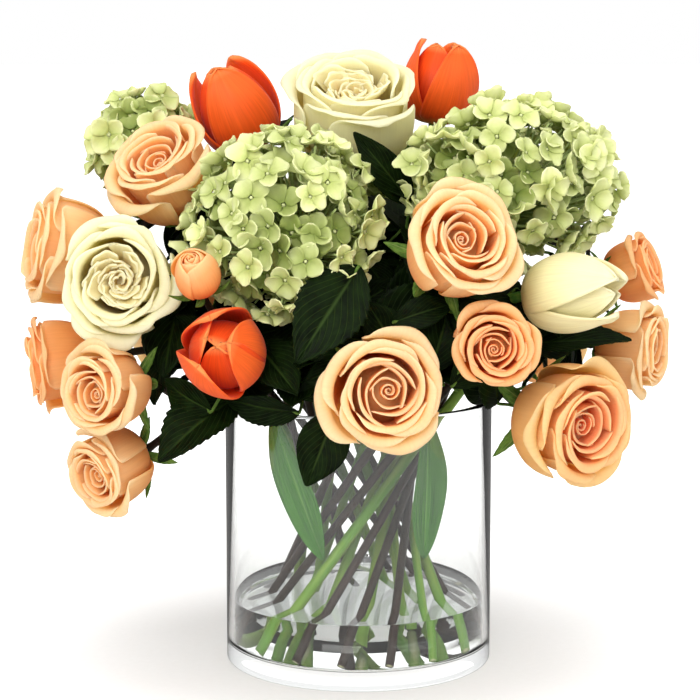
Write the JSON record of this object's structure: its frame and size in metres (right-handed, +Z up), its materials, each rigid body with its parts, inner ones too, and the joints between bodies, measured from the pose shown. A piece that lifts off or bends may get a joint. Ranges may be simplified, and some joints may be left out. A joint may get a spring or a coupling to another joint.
{
  "type": "flower arrangement in a vase",
  "caption": "Dome of peach roses, cream garden roses, orange and white tulips and lime hydrangeas, on spiralled stems in a clear glass cylinder vase with shallow water.",
  "frame": {"origin": "centre of the vase's flat underside", "axes": "+Z up, -Y towards the front of the bouquet, +X to the viewer's right"},
  "size_m": [0.368, 0.2758, 0.3539],
  "materials": {
    "vase_glass": "gloss",
    "water": "gloss",
    "rose_petal": "matte",
    "rose_petal_deep": "matte",
    "garden_rose_petal": "matte",
    "tulip_petal": "satin",
    "white_tulip_petal": "satin",
    "hydrangea_floret": "matte",
    "rose_stem": "satin",
    "green_stem": "satin",
    "leaf": "satin"
  },
  "bodies": {
    "root": {"vase": "vase_glass", "water": "water", "rose_left_side": "rose_petal", "rose_left_low": "rose_petal_deep", "spray_rose_left_low": "rose_petal", "garden_rose_left": "garden_rose_petal", "rose_bud": "rose_petal_deep", "tulip_front": "tulip_petal", "rose_front": "rose_petal", "rose_upper_middle": "rose_petal", "rose_small_right": "rose_petal_deep", "tulip_white": "white_tulip_petal", "rose_right_low": "rose_petal", "rose_right_side": "rose_petal", "rose_back_right": "rose_petal", "garden_rose_back": "garden_rose_petal", "tulip_back": "tulip_petal", "rose_back_left": "rose_petal", "rose_left_top": "rose_petal", "hydrangea_left": "hydrangea_floret", "garden_rose_top": "garden_rose_petal", "hydrangea_right": "hydrangea_floret", "tulip_top_right": "tulip_petal", "hydrangea_back": "hydrangea_floret", "tulip_top_left": "tulip_petal", "hydrangea_back_left": "hydrangea_floret", "spray_rose_left_high": "rose_petal", "rose_right_high": "rose_petal_deep", "rose_left_side_stem": "rose_stem", "rose_left_low_stem": "rose_stem", "spray_rose_left_low_stem": "rose_stem", "garden_rose_left_stem": "green_stem", "rose_bud_stem": "rose_stem", "tulip_front_stem": "green_stem", "rose_front_stem": "rose_stem", "rose_upper_middle_stem": "rose_stem", "rose_small_right_stem": "rose_stem", "tulip_white_stem": "green_stem", "rose_right_low_stem": "rose_stem", "rose_right_side_stem": "rose_stem", "rose_back_right_stem": "rose_stem", "garden_rose_back_stem": "green_stem", "tulip_back_stem": "green_stem", "rose_back_left_stem": "rose_stem", "rose_left_top_stem": "rose_stem", "hydrangea_left_stem": "green_stem", "garden_rose_top_stem": "green_stem", "hydrangea_right_stem": "green_stem", "tulip_top_right_stem": "green_stem", "hydrangea_back_stem": "green_stem", "tulip_top_left_stem": "green_stem", "hydrangea_back_left_stem": "green_stem", "leaf_front_large": "leaf", "leaf_top": "leaf", "leaf_right": "leaf", "leaf_left_low": "leaf", "leaf_rim_front": "leaf", "leaf_back": "leaf", "tulip_leaf_left": "leaf", "tulip_leaf_right": "leaf"}
  },
  "joints": []
}
